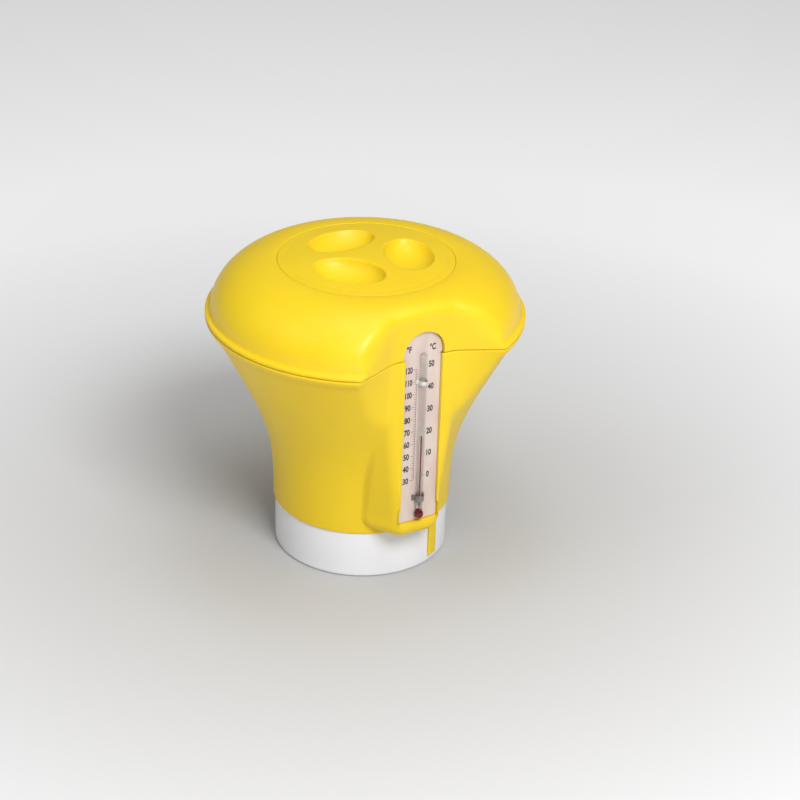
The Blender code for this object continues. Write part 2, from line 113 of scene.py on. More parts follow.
def newPiece(name, points, quads, material, body, replaced=(), sharpAngle=32.0, merge=0.004):
    # writes the grid into a mesh, closes seams and poles and hands the piece to the frame
    points = np.asarray(points, float).reshape(-1, 3) * mm
    quads = np.asarray(quads).reshape(-1, 4)
    mesh = bpy.data.meshes.new(name)
    mesh.vertices.add(len(points))
    mesh.vertices.foreach_set("co", points.ravel())
    mesh.loops.add(quads.size)
    mesh.loops.foreach_set("vertex_index", quads.ravel())
    mesh.polygons.add(len(quads))
    mesh.polygons.foreach_set("loop_start", np.arange(0, quads.size, 4))
    mesh.update(calc_edges=True)
    bm = bmesh.new()
    bm.from_mesh(mesh)
    bmesh.ops.remove_doubles(bm, verts=bm.verts, dist=merge * mm)
    bmesh.ops.dissolve_degenerate(bm, edges=bm.edges, dist=merge * mm * 0.25)
    loose = [e for e in bm.edges if not e.link_faces]
    bmesh.ops.delete(bm, geom=loose, context="EDGES")
    bmesh.ops.recalc_face_normals(bm, faces=bm.faces)
    if bm.calc_volume(signed=True) < 0:
        bmesh.ops.reverse_faces(bm, faces=bm.faces)
    openEdges = sum(1 for e in bm.edges if len(e.link_faces) != 2)
    bm.to_mesh(mesh)
    bm.free()
    mesh.shade_smooth()
    mesh.set_sharp_from_angle(angle=math.radians(sharpAngle))
    mesh.materials.append(material)
    obj = bpy.data.objects.new(name, mesh)
    bpy.context.scene.collection.objects.link(obj)
    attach(obj, body)
    if replaced:
        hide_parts(*replaced)
    print(f"  {name}: {len(mesh.polygons)} faces, {openEdges} open edges")
    return obj


def turnedPoints(profile, angles, centre=(0.0, 0.0)):
    # carries a (radius, height) outline round a vertical axis: x = r sin(a), y = -r cos(a)
    r, z = profile[:, 0][:, None], profile[:, 1][:, None]
    x = centre[0] + r * np.sin(angles)
    y = centre[1] - r * np.cos(angles)
    return np.stack([x, y, np.broadcast_to(z, x.shape)], -1)


def ringAt(angle, radius, height):
    # one row of points at the given radius and height
    x, y = radius * np.sin(angle), -radius * np.cos(angle)
    return np.stack([x, y, np.broadcast_to(height, angle.shape)], -1)[None]


def fullTurn(count):
    # equal angles once round, without repeating the first
    return np.linspace(0.0, 2.0 * np.pi, count, endpoint=False)


# Materials

def newMaterial(name, roughness=0.5, metallic=0.0, **sockets):
    # a Principled material whose patterns read the object's own coordinates
    material = bpy.data.materials.new(name)
    material.use_nodes = True
    nodes, links = material.node_tree.nodes, material.node_tree.links
    shader = nodes["Principled BSDF"]
    shader.inputs["Roughness"].default_value = roughness
    shader.inputs["Metallic"].default_value = metallic
    for socket, value in sockets.items():
        shader.inputs[socket.replace("_", " ")].default_value = value
    coords = nodes.new("ShaderNodeTexCoord").outputs["Object"]
    return material, nodes, links, shader, coords


def addNoise(nodes, links, coords, scale, detail=3.0, rough=0.5, stretch=None):
    # fractal noise of about the given number of spots per metre, stretched where asked
    if stretch is not None:
        mapping = nodes.new("ShaderNodeMapping")
        mapping.inputs["Scale"].default_value = stretch
        links.new(coords, mapping.inputs["Vector"])
        coords = mapping.outputs["Vector"]
    noise = nodes.new("ShaderNodeTexNoise")
    noise.inputs["Scale"].default_value = scale
    noise.inputs["Detail"].default_value = detail
    noise.inputs["Roughness"].default_value = rough
    links.new(coords, noise.inputs["Vector"])
    return noise.outputs["Fac"]


def addRamp(nodes, links, factor, stops):
    # colour by factor, straight between (place, colour) stops
    ramp = nodes.new("ShaderNodeValToRGB")
    while len(ramp.color_ramp.elements) < len(stops):
        ramp.color_ramp.elements.new(0.5)
    for element, (place, color) in zip(ramp.color_ramp.elements, stops):
        element.position = place
        element.color = (*color, 1.0) if len(color) == 3 else color
    links.new(factor, ramp.inputs["Fac"])
    return ramp.outputs["Color"]


def addRange(nodes, links, factor, low, high, fromLow=0.3, fromHigh=0.7):
    # low to high as the factor goes from fromLow to fromHigh, held at both ends
    node = nodes.new("ShaderNodeMapRange")
    node.inputs["From Min"].default_value = fromLow
    node.inputs["From Max"].default_value = fromHigh
    node.inputs["To Min"].default_value = low
    node.inputs["To Max"].default_value = high
    links.new(factor, node.inputs["Value"])
    return node.outputs["Result"]


def addBump(nodes, links, shader, layers):
    # layers of (height, strength, distance in metres), one on top of the other
    normal = None
    for height, strength, distance in layers:
        bump = nodes.new("ShaderNodeBump")
        bump.inputs["Strength"].default_value = strength
        bump.inputs["Distance"].default_value = distance
        links.new(height, bump.inputs["Height"])
        if normal is not None:
            links.new(normal, bump.inputs["Normal"])
        normal = bump.outputs["Normal"]
    links.new(normal, shader.inputs["Normal"])


yellowLook = {
    "light": (0.90, 0.635, 0.014),
    "deep": (0.87, 0.595, 0.011),
    "roughLow": 0.34,
    "roughHigh": 0.46,
    "grain": 1500.0,
}


def yellowPlastic(name, look, seed):
    # blown and moulded plastic: faint flow clouds, a fine satin grain and shallow handling marks
    material, nodes, links, shader, coords = newMaterial(
        name, Subsurface_Weight=0.12, Subsurface_Radius=(0.006, 0.003, 0.0006),
        Subsurface_Scale=0.8, Specular_IOR_Level=0.38)
    clouds = addNoise(nodes, links, coords, 14.0 + seed, 4.0, 0.55, (1.0, 1.0, 0.55))
    color = addRamp(nodes, links, clouds, [(0.30, look["deep"]), (0.70, look["light"])])
    links.new(color, shader.inputs["Base Color"])
    patches = addNoise(nodes, links, coords, 38.0 + seed, 5.0, 0.6)
    links.new(addRange(nodes, links, patches, look["roughLow"], look["roughHigh"]),
              shader.inputs["Roughness"])
    grain = addNoise(nodes, links, coords, look["grain"], 2.0, 0.6)
    waves = addNoise(nodes, links, coords, 55.0, 2.0, 0.4)
    scuffs = addNoise(nodes, links, coords, 300.0, 6.0, 0.7, (1.0, 1.0, 0.12))
    addBump(nodes, links, shader, [(waves, 0.10, 0.0008), (scuffs, 0.05, 0.0001), (grain, 0.10, 0.00006)])
    return material


whiteLook = {"light": (0.90, 0.90, 0.925), "deep": (0.85, 0.85, 0.875), "grain": 1800.0}


def whitePlastic(name, look, seed, rough):
    # plain injection moulding: a little yellowing in clouds and a very fine grain
    material, nodes, links, shader, coords = newMaterial(
        name, Subsurface_Weight=0.08, Subsurface_Radius=(0.004, 0.004, 0.004), Subsurface_Scale=0.7)
    clouds = addNoise(nodes, links, coords, 18.0 + seed, 4.0, 0.6)
    links.new(addRamp(nodes, links, clouds, [(0.3, look["deep"]), (0.7, look["light"])]),
              shader.inputs["Base Color"])
    patches = addNoise(nodes, links, coords, 45.0 + seed, 5.0, 0.6)
    links.new(addRange(nodes, links, patches, rough - 0.06, rough + 0.08), shader.inputs["Roughness"])
    grain = addNoise(nodes, links, coords, look["grain"], 2.0, 0.6)
    waves = addNoise(nodes, links, coords, 60.0, 2.0, 0.4)
    addBump(nodes, links, shader, [(waves, 0.08, 0.0006), (grain, 0.08, 0.00005)])
    return material


def cardPlastic(name):
    # printed card: off-white with a faint warm blush to one side and a paper-fine tooth
    material, nodes, links, shader, coords = newMaterial(name, Specular_IOR_Level=0.45)
    clouds = addNoise(nodes, links, coords, 70.0, 3.0, 0.5, (2.2, 1.0, 0.6))
    links.new(addRamp(nodes, links, clouds, [(0.32, (0.64, 0.50, 0.45)), (0.68, (0.71, 0.60, 0.54))]),
              shader.inputs["Base Color"])
    patches = addNoise(nodes, links, coords, 160.0, 4.0, 0.6)
    links.new(addRange(nodes, links, patches, 0.36, 0.52), shader.inputs["Roughness"])
    tooth = addNoise(nodes, links, coords, 2600.0, 2.0, 0.5)
    addBump(nodes, links, shader, [(tooth, 0.06, 0.00003)])
    return material


def printInk(name, dark, light):
    # matt ink, a little worn
    material, nodes, links, shader, coords = newMaterial(name, roughness=0.55)
    wear = addNoise(nodes, links, coords, 900.0, 4.0, 0.6)
    links.new(addRamp(nodes, links, wear, [(0.35, dark), (0.75, light)]), shader.inputs["Base Color"])
    links.new(addRange(nodes, links, wear, 0.45, 0.62), shader.inputs["Roughness"])
    return material


def clearGlass(name):
    # drawn tube with faint lengthwise ripples
    material, nodes, links, shader, coords = newMaterial(
        name, roughness=0.05, Transmission_Weight=1.0, IOR=1.12)
    ripples = addNoise(nodes, links, coords, 220.0, 2.0, 0.4, (1.0, 1.0, 0.15))
    links.new(addRamp(nodes, links, ripples, [(0.3, (0.95, 0.97, 0.97)), (0.7, (0.99, 0.99, 0.99))]),
              shader.inputs["Base Color"])
    addBump(nodes, links, shader, [(ripples, 0.05, 0.0002)])
    return material


def redSpirit(name):
    # dark red liquid with a soft swirl
    material, nodes, links, shader, coords = newMaterial(name, roughness=0.12, Specular_IOR_Level=0.6)
    swirl = addNoise(nodes, links, coords, 500.0, 3.0, 0.5)
    links.new(addRamp(nodes, links, swirl, [(0.3, (0.16, 0.003, 0.008)), (0.7, (0.30, 0.006, 0.014))]),
              shader.inputs["Base Color"])
    return material


def dullMetal(name, dark, light, rough, brushed):
    # tarnish in patches under fine rolling or turning lines
    material, nodes, links, shader, coords = newMaterial(name, metallic=1.0)
    tone = addNoise(nodes, links, coords, 400.0, 4.0, 0.6)
    links.new(addRamp(nodes, links, tone, [(0.3, dark), (0.7, light)]), shader.inputs["Base Color"])
    lines = addNoise(nodes, links, coords, 900.0, 3.0, 0.6, brushed)
    links.new(addRange(nodes, links, lines, rough - 0.08, rough + 0.12), shader.inputs["Roughness"])
    addBump(nodes, links, shader, [(lines, 0.12, 0.00004)])
    return material


def softRubber(name):
    # black rubber with a pale bloom
    material, nodes, links, shader, coords = newMaterial(name, Specular_IOR_Level=0.35)
    bloom = addNoise(nodes, links, coords, 120.0, 5.0, 0.65)
    links.new(addRamp(nodes, links, bloom, [(0.35, (0.016, 0.016, 0.017)), (0.75, (0.045, 0.045, 0.047))]),
              shader.inputs["Base Color"])
    links.new(addRange(nodes, links, bloom, 0.55, 0.75), shader.inputs["Roughness"])
    grain = addNoise(nodes, links, coords, 2200.0, 2.0, 0.6)
    addBump(nodes, links, shader, [(grain, 0.15, 0.00004)])
    return material


domeYellow = yellowPlastic("domeYellow", yellowLook, 0.0)
hullYellow = yellowPlastic("hullYellow", yellowLook, 3.0)
lidYellow = yellowPlastic("lidYellow", yellowLook, 6.0)
cupWhite = whitePlastic("cupWhite", whiteLook, 0.0, 0.42)
basketWhite = whitePlastic("basketWhite", whiteLook, 4.0, 0.5)
cardFace = cardPlastic("cardFace")
scaleInk = printInk("scaleInk", (0.018, 0.018, 0.022), (0.05, 0.05, 0.055))
tubeGlass = clearGlass("tubeGlass")
spiritRed = redSpirit("spiritRed")
clipPale = dullMetal("clipPale", (0.72, 0.71, 0.69), (0.84, 0.83, 0.80), 0.42, (1.0, 1.0, 8.0))
clipDark = dullMetal("clipDark", (0.22, 0.21, 0.20), (0.36, 0.35, 0.33), 0.45, (1.0, 1.0, 8.0))
screwSteel = dullMetal("screwSteel", (0.50, 0.50, 0.52), (0.66, 0.66, 0.68), 0.30, (6.0, 6.0, 1.0))
sealRubber = softRubber("sealRubber")
print("materials made")


# The float: two yellow shells and the index tab

floatForm = {
    "skirtZ": 30.0,
    "skirtRadius": 52.4,
    "flareSlope": 0.535,
    "flareZ": 75.5,
    "flareSoft": 13.0,
    "wingDepth": 59.1,
    "wingSlope": 0.46,
    "wingStart": 18.9,
    "wingTurnZ": 116.0,
    "wingCrease": 3.0,
    "bossFront": 68.3,
    "bossSide": 55.6,
    "bossSlope": 0.63,
    "bossSpread": 0.131,
    "bossSpreadZ": 46.0,
    "bossLimit": 25.5,
    "bossCorner": 5.0,
    "bossFillet": 2.0,
    "bossBottomZ": 33.5,
    "bossNose": 8.0,
    "tabAngle": 25.0,
    "tabWidth": 7.0,
    "tabBottomZ": 5.0,
    "wall": 2.2,
    "pocketHalf": 13.0,
    "pocketBack": 64.5,
    "pocketBottomZ": 43.7,
    "lipBottomZ": 54.0,
    "lipInner": 11.9,
    "lipBack": 66.35,
    "jointRadius": 84.0,
    "collarRadius": 48.0,
    "glandRadius": 42.8,
    "skirtInside": 50.4,
    "collarTopZ": 42.6,
    "floorZ": 36.0,
}


def sideAngles(startDegrees):
    # plan angles from the boss's front corner round to the back, close together at the flank and wing
    parts = [np.linspace(startDegrees, 15.0, 26), np.linspace(15.2, 21.0, 30), np.linspace(21.3, 36.0, 46),
             np.linspace(36.7, 60.0, 26), np.linspace(62.0, 180.0, 60)]
    return np.radians(np.concatenate(parts))


def wingReach(angle, depth, slope):
    # where the ray at this angle meets the plane depth + slope * |x|; far away where it never does
    run = np.cos(angle) - slope * np.abs(np.sin(angle))
    return np.where(run > 0.12, depth / np.maximum(run, 0.12), 500.0)


def wingFace(angle, z, setback, form):
    # the ray's reach to a face at constant depth that turns back beyond |x| = wingStart,
    # more and more towards the parting line
    share = np.clip((z - form["wingTurnZ"]) / (partingZ - form["wingTurnZ"]), 0.0, 1.0)
    slope = form["wingSlope"] * share ** 0.95
    face = form["wingDepth"] + form["wingSlope"] * form["wingStart"] - setback
    cosA, sinA = np.cos(angle), np.abs(np.sin(angle))
    run = cosA - slope * sinA
    straight = np.where(cosA > 0.12, face / np.maximum(cosA, 0.12), 500.0)
    turned = np.where(run > 0.12, (face - slope * form["wingStart"]) / np.maximum(run, 0.12), 500.0)
    return softMax(straight, turned, 1.0)


def flareRadius(z, form):
    # skirt radius plus a softened ramp
    ramp = np.log1p(np.exp((z - form["flareZ"]) / form["flareSoft"]))
    bead = 1.5 * np.exp(-((z - 146.6) / 3.4) ** 2)
    return form["skirtRadius"] + form["flareSlope"] * form["flareSoft"] * ramp + bead


def bossFlank(angle, z, inset, form):
    # straight side |x| + slope * depth = bossSide that spreads with height, up to |x| = bossLimit
    cosA, sinA = np.maximum(np.cos(angle), 0.0), np.abs(np.sin(angle)) + 1e-6
    side = form["bossSide"] + form["bossSpread"] * np.maximum(z - form["bossSpreadZ"], 0.0)
    run = math.hypot(1.0, form["bossSlope"])
    flank = (side - inset * run) / (sinA + form["bossSlope"] * cosA)
    return softMin(flank, (form["bossLimit"] - inset) / sinA, 5.0)


def bossReach(angle, z, inset, form):
    # plan radius of the thermometer's block: flat front, rounded corners and the two flanks
    cosA = np.cos(angle)
    front = (form["bossFront"] - inset) / np.maximum(cosA, 0.05)
    return np.where(cosA > 0.2, softMin(front, bossFlank(angle, z, inset, form), form["bossCorner"]), 0.0)


def hullOuter(angle, z, form):
    # plan radius of the hull's outside: flared body cut by the wings, joined to the boss above its chin
    body = flareRadius(z, form)
    body = softMin(body, wingFace(angle, z, 0.0, form), form["wingCrease"])
    low = np.clip((form["bossBottomZ"] + form["bossNose"] - z) / form["bossNose"], 0.0, 1.0)
    inset = form["bossNose"] * (1.0 - np.sqrt(1.0 - low ** 2))
    boss = np.where(z > form["bossBottomZ"], bossReach(angle, z, inset, form), 0.0)
    return softMax(body, boss, form["bossFillet"] * (1.0 - 0.6 * low))


def hullInner(angle, z, form):
    # plan radius of the hull's inside: the same forms set back by the wall, never inside the collar
    wall = form["wall"]
    body = flareRadius(np.minimum(z, 140.0), form) - 1.1 * wall + 0.5 * np.maximum(z - 140.0, 0.0)
    body = softMin(body, wingFace(angle, z, 1.1 * wall, form), 2.0)
    cosA = np.cos(angle)
    front = (form["pocketBack"] - wall) / np.maximum(cosA, 0.05)
    boss = np.where(cosA > 0.2, softMin(front, bossFlank(angle, z, wall, form), 1.0), 0.0)
    boss = boss * smoothStep((z - form["collarTopZ"] - 0.4) / 1.2)
    return np.maximum(softMax(body, boss, 1.0), form["collarRadius"] + 0.3)


def hullPocket(z, surface, form):
    # plan of the card's pocket from its edge to its middle: lip, undercut, side wall and floor;
    # each row is (x with lip, x without lip, depth), and a depth of zero or less is from the surface
    half, back = form["pocketHalf"], form["pocketBack"]
    lipIn, lipBack = form["lipInner"], form["lipBack"]
    rows = [(12.7, 13.25, 0.0), (12.3, 13.1, -0.06), (12.0, half, -0.3), (lipIn, half, -0.7),
            (lipIn, half, lipBack), (half, half, lipBack - 0.02), (half, half, back)]
    rows += [(t, t, back) for t in np.linspace(half - 0.4, 0.0, 8)]
    table = np.array(rows)
    lip = ((z > form["lipBottomZ"]) & (z <= hullTopZ))[:, None]
    x = np.where(lip, table[:, 0], table[:, 1])
    depth = np.where(table[:, 2] <= 0.0, surface + table[:, 2], table[:, 2])
    return x, np.broadcast_to(depth, x.shape)


def fullColumns(side, pocketX):
    # right side from the back to the boss, the pocket across, and the left side mirrored back again
    right = side[::-1]
    left = -side[:-1]
    middle = np.concatenate([pocketX, -pocketX[-2::-1]])
    return right, middle, left


def buildHull(form):
    # closed shell: up the outside with the card's pocket in its middle columns, and down the inside
    frontX = np.array([13.3, 13.0, 12.7, 12.4, 12.1, 11.8, 11.5, 11.0, 9.6, 8.0, 6.4, 4.8, 3.2, 1.6, 0.0])
    right, middle, left = fullColumns(sideAngles(11.3), frontX)
    middleAngle = np.arctan2(middle, form["bossFront"])
    angle = np.concatenate([right, middleAngle, left])
    firstMid = len(right)
    midCount = len(middle)

    bottom, top = form["skirtZ"], hullTopZ
    pocketZ, lipZ, chin = form["pocketBottomZ"], form["lipBottomZ"], form["bossBottomZ"]
    levels = np.concatenate([
        [bottom, bottom + 0.12, bottom + 0.45, bottom + 1.0, bottom + 1.8, bottom + 2.7, chin, chin + 0.001],
        chin + form["bossNose"] * (1.0 - np.cos(np.radians(np.linspace(6.0, 90.0, 15)))),
        [chin + form["bossNose"] + 1.0, pocketZ, pocketZ + 0.001],
        np.linspace(pocketZ + 1.0, lipZ - 0.8, 6), [lipZ, lipZ + 0.001],
        np.linspace(lipZ + 1.2, 138.0, 46), np.linspace(139.5, 148.0, 12), [148.35, 148.6, top]])
    z = levels[:, None]
    outer = hullOuter(angle[None, :], z, form)
    # rounded edges at the skirt's bottom and at the parting line
    tuckZ = [bottom, bottom + 0.12, bottom + 0.45, bottom + 1.0, 148.0, 148.35, 148.6, top]
    tuck = np.interp(levels, tuckZ, [0.75, 0.35, 0.05, 0.0, 0.0, 0.12, 0.38, 0.8])
    outer = outer - tuck[:, None]
    zGrid = np.broadcast_to(z, outer.shape).copy()
    x = outer * np.sin(angle)
    depth = outer * np.cos(angle)
    inPocket = (levels > pocketZ)
    surface = depth[:, firstMid + midCount // 2][:, None]
    pocketX, pocketDepth = hullPocket(levels, surface, form)
    fullX = np.concatenate([pocketX, -pocketX[:, -2::-1]], 1)
    fullDepth = np.concatenate([pocketDepth, pocketDepth[:, -2::-1]], 1)
    mid = slice(firstMid, firstMid + midCount)
    x[:, mid] = np.where(inPocket[:, None], fullX, x[:, mid])
    depth[:, mid] = np.where(inPocket[:, None], fullDepth, depth[:, mid])
    shell = [np.stack([x, -depth, zGrid], -1)]

    def ring(radius, height):
        return ringAt(angle, radius, height)

    topInner = hullInner(angle, np.array(147.0), form)
    flange = np.minimum(form["jointRadius"], topInner)
    shell += [ring(flange, top), ring(flange, 146.5)]
    for height in np.concatenate([[146.5], np.linspace(143.0, 46.0, 26), [44.4, 43.6, 43.0, 42.0, 38.3]]):
        shell.append(ring(hullInner(angle, np.array(height), form), height))
    collar, gland, skirt = form["collarRadius"], form["glandRadius"], form["skirtInside"]
    shell += [ring(collar, 38.3), ring(collar, form["collarTopZ"]), ring(gland, form["collarTopZ"]),
              ring(gland, form["floorZ"]), ring(skirt, form["floorZ"]), ring(skirt, bottom + 0.3),
              ring(skirt + 0.4, bottom), ring(outer[0] - 0.5, bottom)]
    points = np.concatenate(shell)
    quads = gridQuads(len(points), points.shape[1], closeRows=True)
    return newPiece("hullShell", points, quads, hullYellow, "float_body", ("hull_shell",))


domeForm = {
    "shoulderCentre": 52.0,
    "shoulderFoot": 89.5,
    "shoulderZ": 152.0,
    "topZ": 182.0,
    "power": 1.9,
    "faceDepth": 68.3,
    "softLow": 1.6,
    "softHigh": 10.0,
    "wellRadius": 51.2,
    "wellFloorZ": 174.2,
    "portRadius": 44.5,
    "pocketHalf": 13.0,
    "pocketTopZ": 164.7,
}


def shoulderProfile(inset, count, form):
    # superellipse from the rim's foot to the top of the dome
    a = np.linspace(0.0, 0.5 * np.pi, count)
    width = form["shoulderFoot"] - form["shoulderCentre"] - inset
    height = form["topZ"] - form["shoulderZ"] - inset
    power = 2.0 / form["power"]
    return np.stack([form["shoulderCentre"] + width * np.cos(a) ** power,
                     form["shoulderZ"] + height * np.sin(a) ** power], -1)[:-1]


def faceReach(angle, setback, form, hull):
    # the notch: a flat face over the boss that turns into the two wings
    face = (form["faceDepth"] - setback) / np.maximum(np.cos(angle), 0.05)
    face = np.where(np.cos(angle) > 0.2, face, 0.0)
    wings = wingReach(angle, hull["wingDepth"] - setback, hull["wingSlope"])
    return softMax(face, wings, 2.0)


def buildDome(form, hull):
    # closed shell: the turned outline cut back by the notch, with the arched end of the card's
    # pocket in its middle columns, then the lid's well, the port and the inside
    side = sideAngles(11.5)
    pocketCount, faceCount = 9, 12
    share = np.concatenate([np.zeros(faceCount), [0.0, 0.0, 0.0], np.linspace(0.0, 1.0, pocketCount)[1:]])
    faceShare = np.concatenate([np.linspace(0.0, 1.0, faceCount + 1)[1:], [1.0, 1.0, 1.0],
                                np.ones(pocketCount - 1)])
    half = form["pocketHalf"]
    startX = 13.8

    outline = chain(
        [(91.7, partingZ), (92.15, partingZ + 0.25), (92.4, partingZ + 0.6), (92.5, partingZ + 1.0),
         (92.5, partingZ + 1.6), (92.35, partingZ + 2.1), (91.95, partingZ + 2.4), (91.2, partingZ + 2.55),
         (90.6, partingZ + 2.7), (90.1, partingZ + 2.95), (89.75, partingZ + 3.4)],
        shoulderProfile(0.0, 44, form)[2:],
        [(51.75, 181.98), (51.5, 181.95), (51.3, 181.88), (51.15, 181.7), (51.1, 181.4),
         (51.2, form["wellFloorZ"])])
    outline[:, 0] = np.minimum(outline[:, 0], rimRadius)
    # extra rows where the pocket's half-round top is
    extraZ = np.array([158.0, 160.0, 161.5, 162.6, 163.4, 164.0, 164.4, 164.62, form["pocketTopZ"],
                       165.2, 166.0, 167.2])
    extraR = np.interp(extraZ, outline[:45, 1], outline[:45, 0])
    rows = np.concatenate([outline, np.stack([extraR, extraZ], -1)])
    order = np.argsort(rows[:, 1] + 1000.0 * (rows[:, 0] < 60.0), kind="stable")
    upper = rows[order][rows[order][:, 0] >= 60.0]
    rest = outline[outline[:, 0] < 60.0]
    rows = np.concatenate([upper, rest])
    radius, z = rows[:, 0], rows[:, 1]

    arch = form["pocketTopZ"] - half
    climb = np.clip((z - arch) / half, 0.0, 1.0)
    halfAt = half * np.sqrt(np.maximum(1.0 - climb ** 2, 0.0004))
    above = z > form["pocketTopZ"] + 0.01
    halfAt = np.where(above, 11.0 * smoothStep((z - form["pocketTopZ"]) / 5.0), halfAt)

    midX = startX + (halfAt[:, None] - startX) * faceShare[None, :]
    midX = midX * (1.0 - share[None, :])
    fullX = np.concatenate([midX, -midX[:, -2::-1]], 1)
    midAngle = np.arctan2(fullX, form["faceDepth"])
    angle = np.concatenate([np.broadcast_to(side[::-1], (len(z), len(side))), midAngle,
                            np.broadcast_to(-side[:-1], (len(z), len(side) - 1))], 1)
    zCol = z[:, None]
    soft = form["softLow"] + (form["softHigh"] - form["softLow"]) * smoothStep((zCol - 151.5) / 9.0)
    reach = softMin(radius[:, None], faceReach(angle, 0.0, form, hull), soft)
    reach = np.where(radius[:, None] < 60.0, radius[:, None], reach)
    seamTuck = np.interp(z - partingZ, [0.0, 0.25, 0.6, 1.0], [0.8, 0.35, 0.1, 0.0])
    inNotch = smoothStep((radius[:, None] - reach) / 1.5)
    reach = reach - seamTuck[:, None] * inNotch
    x = reach * np.sin(angle)
    depth = reach * np.cos(angle)
    first = len(side)
    # depth of the pocket's columns: zero or less is from the surface, above zero is the pocket's floor
    wall = np.concatenate([np.zeros(faceCount), [-0.3, -0.8], np.full(pocketCount, hull["pocketBack"])])
    fullWall = np.concatenate([wall, wall[-2::-1]])[None, :]
    inside = (~above)[:, None] & (z < 168.0)[:, None]
    mid = slice(first, first + fullX.shape[1])
    surface = depth[:, mid]
    carved = np.where(fullWall > 0.0, fullWall, surface + fullWall)
    depth[:, mid] = np.where(inside, carved, surface)
    x[:, mid] = np.where(inside, fullX, x[:, mid])
    shell = [np.stack([x, -depth, np.broadcast_to(zCol, x.shape)], -1)]

    plainX = np.linspace(13.3, 0.0, fullX.shape[1] // 2 + 1)
    right, middle, left = fullColumns(side, plainX)
    flatAngle = np.concatenate([right, np.arctan2(middle, form["faceDepth"]), left])

    def ring(radius, height, limited=False):
        if limited:
            face = faceReach(flatAngle, hull["wall"], form, hull)
            block = 62.2 / np.maximum(np.cos(flatAngle), 0.05)
            block = block + 40.0 * smoothStep((np.abs(np.degrees(flatAngle)) - 13.6) / 2.5)
            block = block + 40.0 * smoothStep((height - 167.0) / 2.5)
            radius = np.minimum(radius, softMin(face, np.where(np.cos(flatAngle) > 0.2, block, 500.0), 1.0))
        return ringAt(flatAngle, radius, height)

    wellOut, floorLow = form["wellRadius"] + hull["wall"], form["wellFloorZ"] - hull["wall"]
    shell += [ring(form["portRadius"], form["wellFloorZ"]), ring(form["portRadius"], floorLow),
              ring(wellOut, floorLow), ring(wellOut, form["topZ"] - hull["wall"])]
    for r, h in shoulderProfile(hull["wall"], 22, form)[::-1]:
        shell.append(ring(r, h, True))
    shell += [ring(86.5, 151.5, True), ring(hull["jointRadius"], 151.4, True),
              ring(hull["jointRadius"], partingZ, True)]
    points = np.concatenate(shell)
    quads = gridQuads(len(points), points.shape[1], closeRows=True)
    return newPiece("domeShell", points, quads, domeYellow, "float_body", ("dome_shell",))


def buildTab(form):
    # a slim blade hanging from the skirt: a rounded section carried down at one plan angle
    low = form["tabBottomZ"]
    heights = np.concatenate([[low, low + 0.15, low + 0.5], np.linspace(7.0, 31.2, 12)])[:, None]
    shrink = np.interp(heights[:, 0], [low, low + 0.5], [0.45, 0.0])
    middle = cupRadius + 1.05
    halfWide = 0.5 * math.radians(form["tabWidth"]) * middle
    corner = np.concatenate([arcPoints((halfWide - 0.5, 0.15), 0.5, 0.0, 90.0, 5),
                             arcPoints((-halfWide + 0.5, 0.15), 0.5, 90.0, 180.0, 5),
                             [(-halfWide, -0.6), (halfWide, -0.6)]])
    across = np.sign(corner[:, 0]) * (np.abs(corner[:, 0])[None, :] - shrink[:, None])
    outward = np.sign(corner[:, 1]) * np.maximum(np.abs(corner[:, 1])[None, :] - shrink[:, None], 0.05)
    a = math.radians(form["tabAngle"]) + across / middle
    r = middle + outward
    points = np.stack([r * np.sin(a), -r * np.cos(a), np.broadcast_to(heights, a.shape)], -1)
    caps = [np.broadcast_to(points[i].mean(0), (1, *points.shape[1:])) for i in (0, -1)]
    points = np.concatenate([caps[0], points, caps[1]])
    return newPiece("indexTab", points, gridQuads(len(points), points.shape[1]), hullYellow, "float_body")


buildHull(floatForm)
buildTab(floatForm)
buildDome(domeForm, floatForm)
print("float shells built")


# The lid and its seal

lidForm = {
    "recessAt": 24.5,
    "recessAngle": 68.0,
    "recessHalf": (14.5, 21.5, 9.5),
    "recessLip": 1.9,
    "pipAt": 34.6,
    "pipAngle": 36.7,
    "pipRadius": 1.5,
    "plugRadius": 38.8,
    "plugHollow": 36.6,
    "plugBottomZ": 166.0,
    "lugRadius": 40.2,
    "lugAngle": 0.0,
    "lugWidth": 24.0,
    "sealRadius": 45.8,
}


def smoothCrown(r):
    # 185 minus a curve that steepens towards the edge
    return 185.0 - 2.85 * (np.minimum(r, 49.0) / 48.5) ** 2.05


def lidTop(r, angle, form):
    # crown, less three ellipsoid bowls, less a fine ring groove, plus one small pip
    height = smoothCrown(r)
    bowl = np.full(r.shape, 400.0)
    halfR, halfT, deep = form["recessHalf"]
    for k in range(3):
        turned = angle - math.radians(form["recessAngle"] + 120.0 * k)
        along = r * np.cos(turned) - form["recessAt"]
        across = r * np.sin(turned)
        q = (along / halfR) ** 2 + (across / halfT) ** 2
        dish = 185.0 - deep * np.sqrt(np.maximum(1.0 - q, 0.0)) + 8.0 * np.maximum(q - 1.0, 0.0)
        bowl = np.minimum(bowl, dish)
    height = softMin(height, bowl, form["recessLip"])
    height = height - 0.12 * np.exp(-((r - 46.4) / 0.6) ** 2)
    pipX = r * np.sin(angle) - form["pipAt"] * math.sin(math.radians(form["pipAngle"]))
    pipY = r * np.cos(angle) - form["pipAt"] * math.cos(math.radians(form["pipAngle"]))
    pip = np.maximum(1.0 - (pipX ** 2 + pipY ** 2) / form["pipRadius"] ** 2, 0.0)
    return height + 0.8 * np.sqrt(pip)


def arcMask(angle, centre, width, soft=0.6):
    # 1 inside three equal arcs, 0 outside, angles in degrees
    away = (np.degrees(angle) - centre + 60.0) % 120.0 - 60.0
    return smoothStep((0.5 * width - np.abs(away)) / soft + 0.5)


